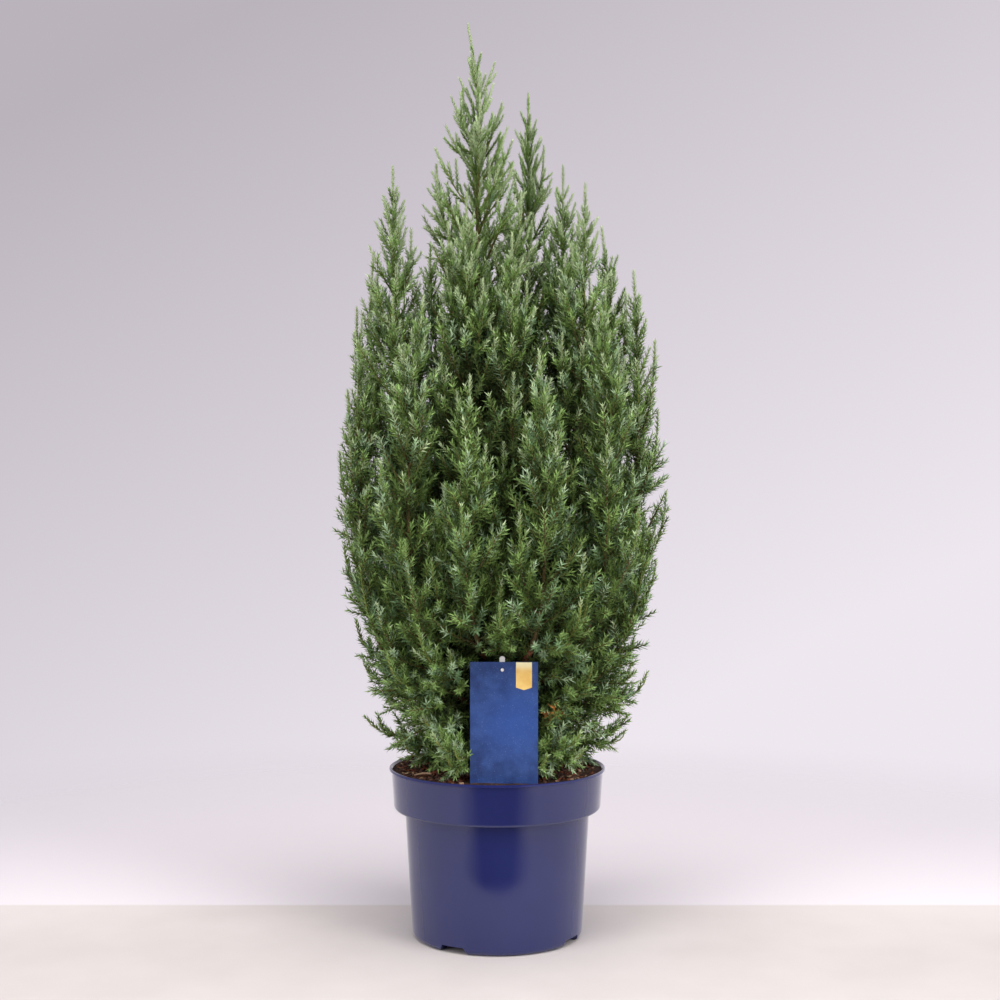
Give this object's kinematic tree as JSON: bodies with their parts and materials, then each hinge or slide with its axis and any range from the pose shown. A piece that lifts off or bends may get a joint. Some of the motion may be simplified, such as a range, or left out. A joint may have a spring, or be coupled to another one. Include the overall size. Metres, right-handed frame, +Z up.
{
  "type": "potted conifer",
  "caption": "Upright, narrow-crowned Chinese juniper with erect plumes of short needles, in a round tapered nursery pot with a banded rim, soil and a bare label card on a stake.",
  "frame": {"origin": "middle of the pot's underside, the flat face that the plant stands on", "axes": "+Z up along the pot's axis, -Y towards the viewer of the picture (the label's side), +X to that viewer's right"},
  "size_m": [0.3599, 0.3546, 0.9516],
  "materials": {
    "pot_plastic": "glossy",
    "soil": "matte",
    "label_card": "satin",
    "label_stake": "satin",
    "bark": "matte",
    "needles": "matte"
  },
  "bodies": {
    "root": {"pot": "pot_plastic", "soil": "soil", "label_card": "label_card", "label_stake": "label_stake", "trunk": "bark", "bough_1": "bark", "bough_2": "bark", "bough_3": "bark", "bough_4": "bark", "bough_5": "bark", "bough_6": "bark", "bough_7": "bark", "bough_8": "bark", "bough_9": "bark", "bough_10": "bark", "bough_11": "bark", "bough_12": "bark", "bough_13": "bark", "bough_14": "bark", "bough_15": "bark", "bough_16": "bark", "bough_17": "bark", "bough_18": "bark", "bough_19": "bark", "bough_20": "bark", "leader_foliage": "needles", "inner_foliage_1": "needles", "inner_foliage_2": "needles", "inner_foliage_3": "needles", "inner_foliage_4": "needles", "inner_foliage_5": "needles", "inner_foliage_6": "needles", "inner_foliage_7": "needles", "inner_foliage_8": "needles", "outer_foliage_1": "needles", "outer_foliage_2": "needles", "outer_foliage_3": "needles", "outer_foliage_4": "needles", "outer_foliage_5": "needles", "outer_foliage_6": "needles", "outer_foliage_7": "needles", "outer_foliage_8": "needles", "outer_foliage_9": "needles", "outer_foliage_10": "needles", "outer_foliage_11": "needles", "outer_foliage_12": "needles", "skirt_foliage_1": "needles", "skirt_foliage_2": "needles", "skirt_foliage_3": "needles", "skirt_foliage_4": "needles", "skirt_foliage_5": "needles", "skirt_foliage_6": "needles", "low_foliage_1": "needles", "low_foliage_2": "needles", "low_foliage_3": "needles", "low_foliage_4": "needles", "low_foliage_5": "needles", "low_foliage_6": "needles"}
  },
  "joints": []
}
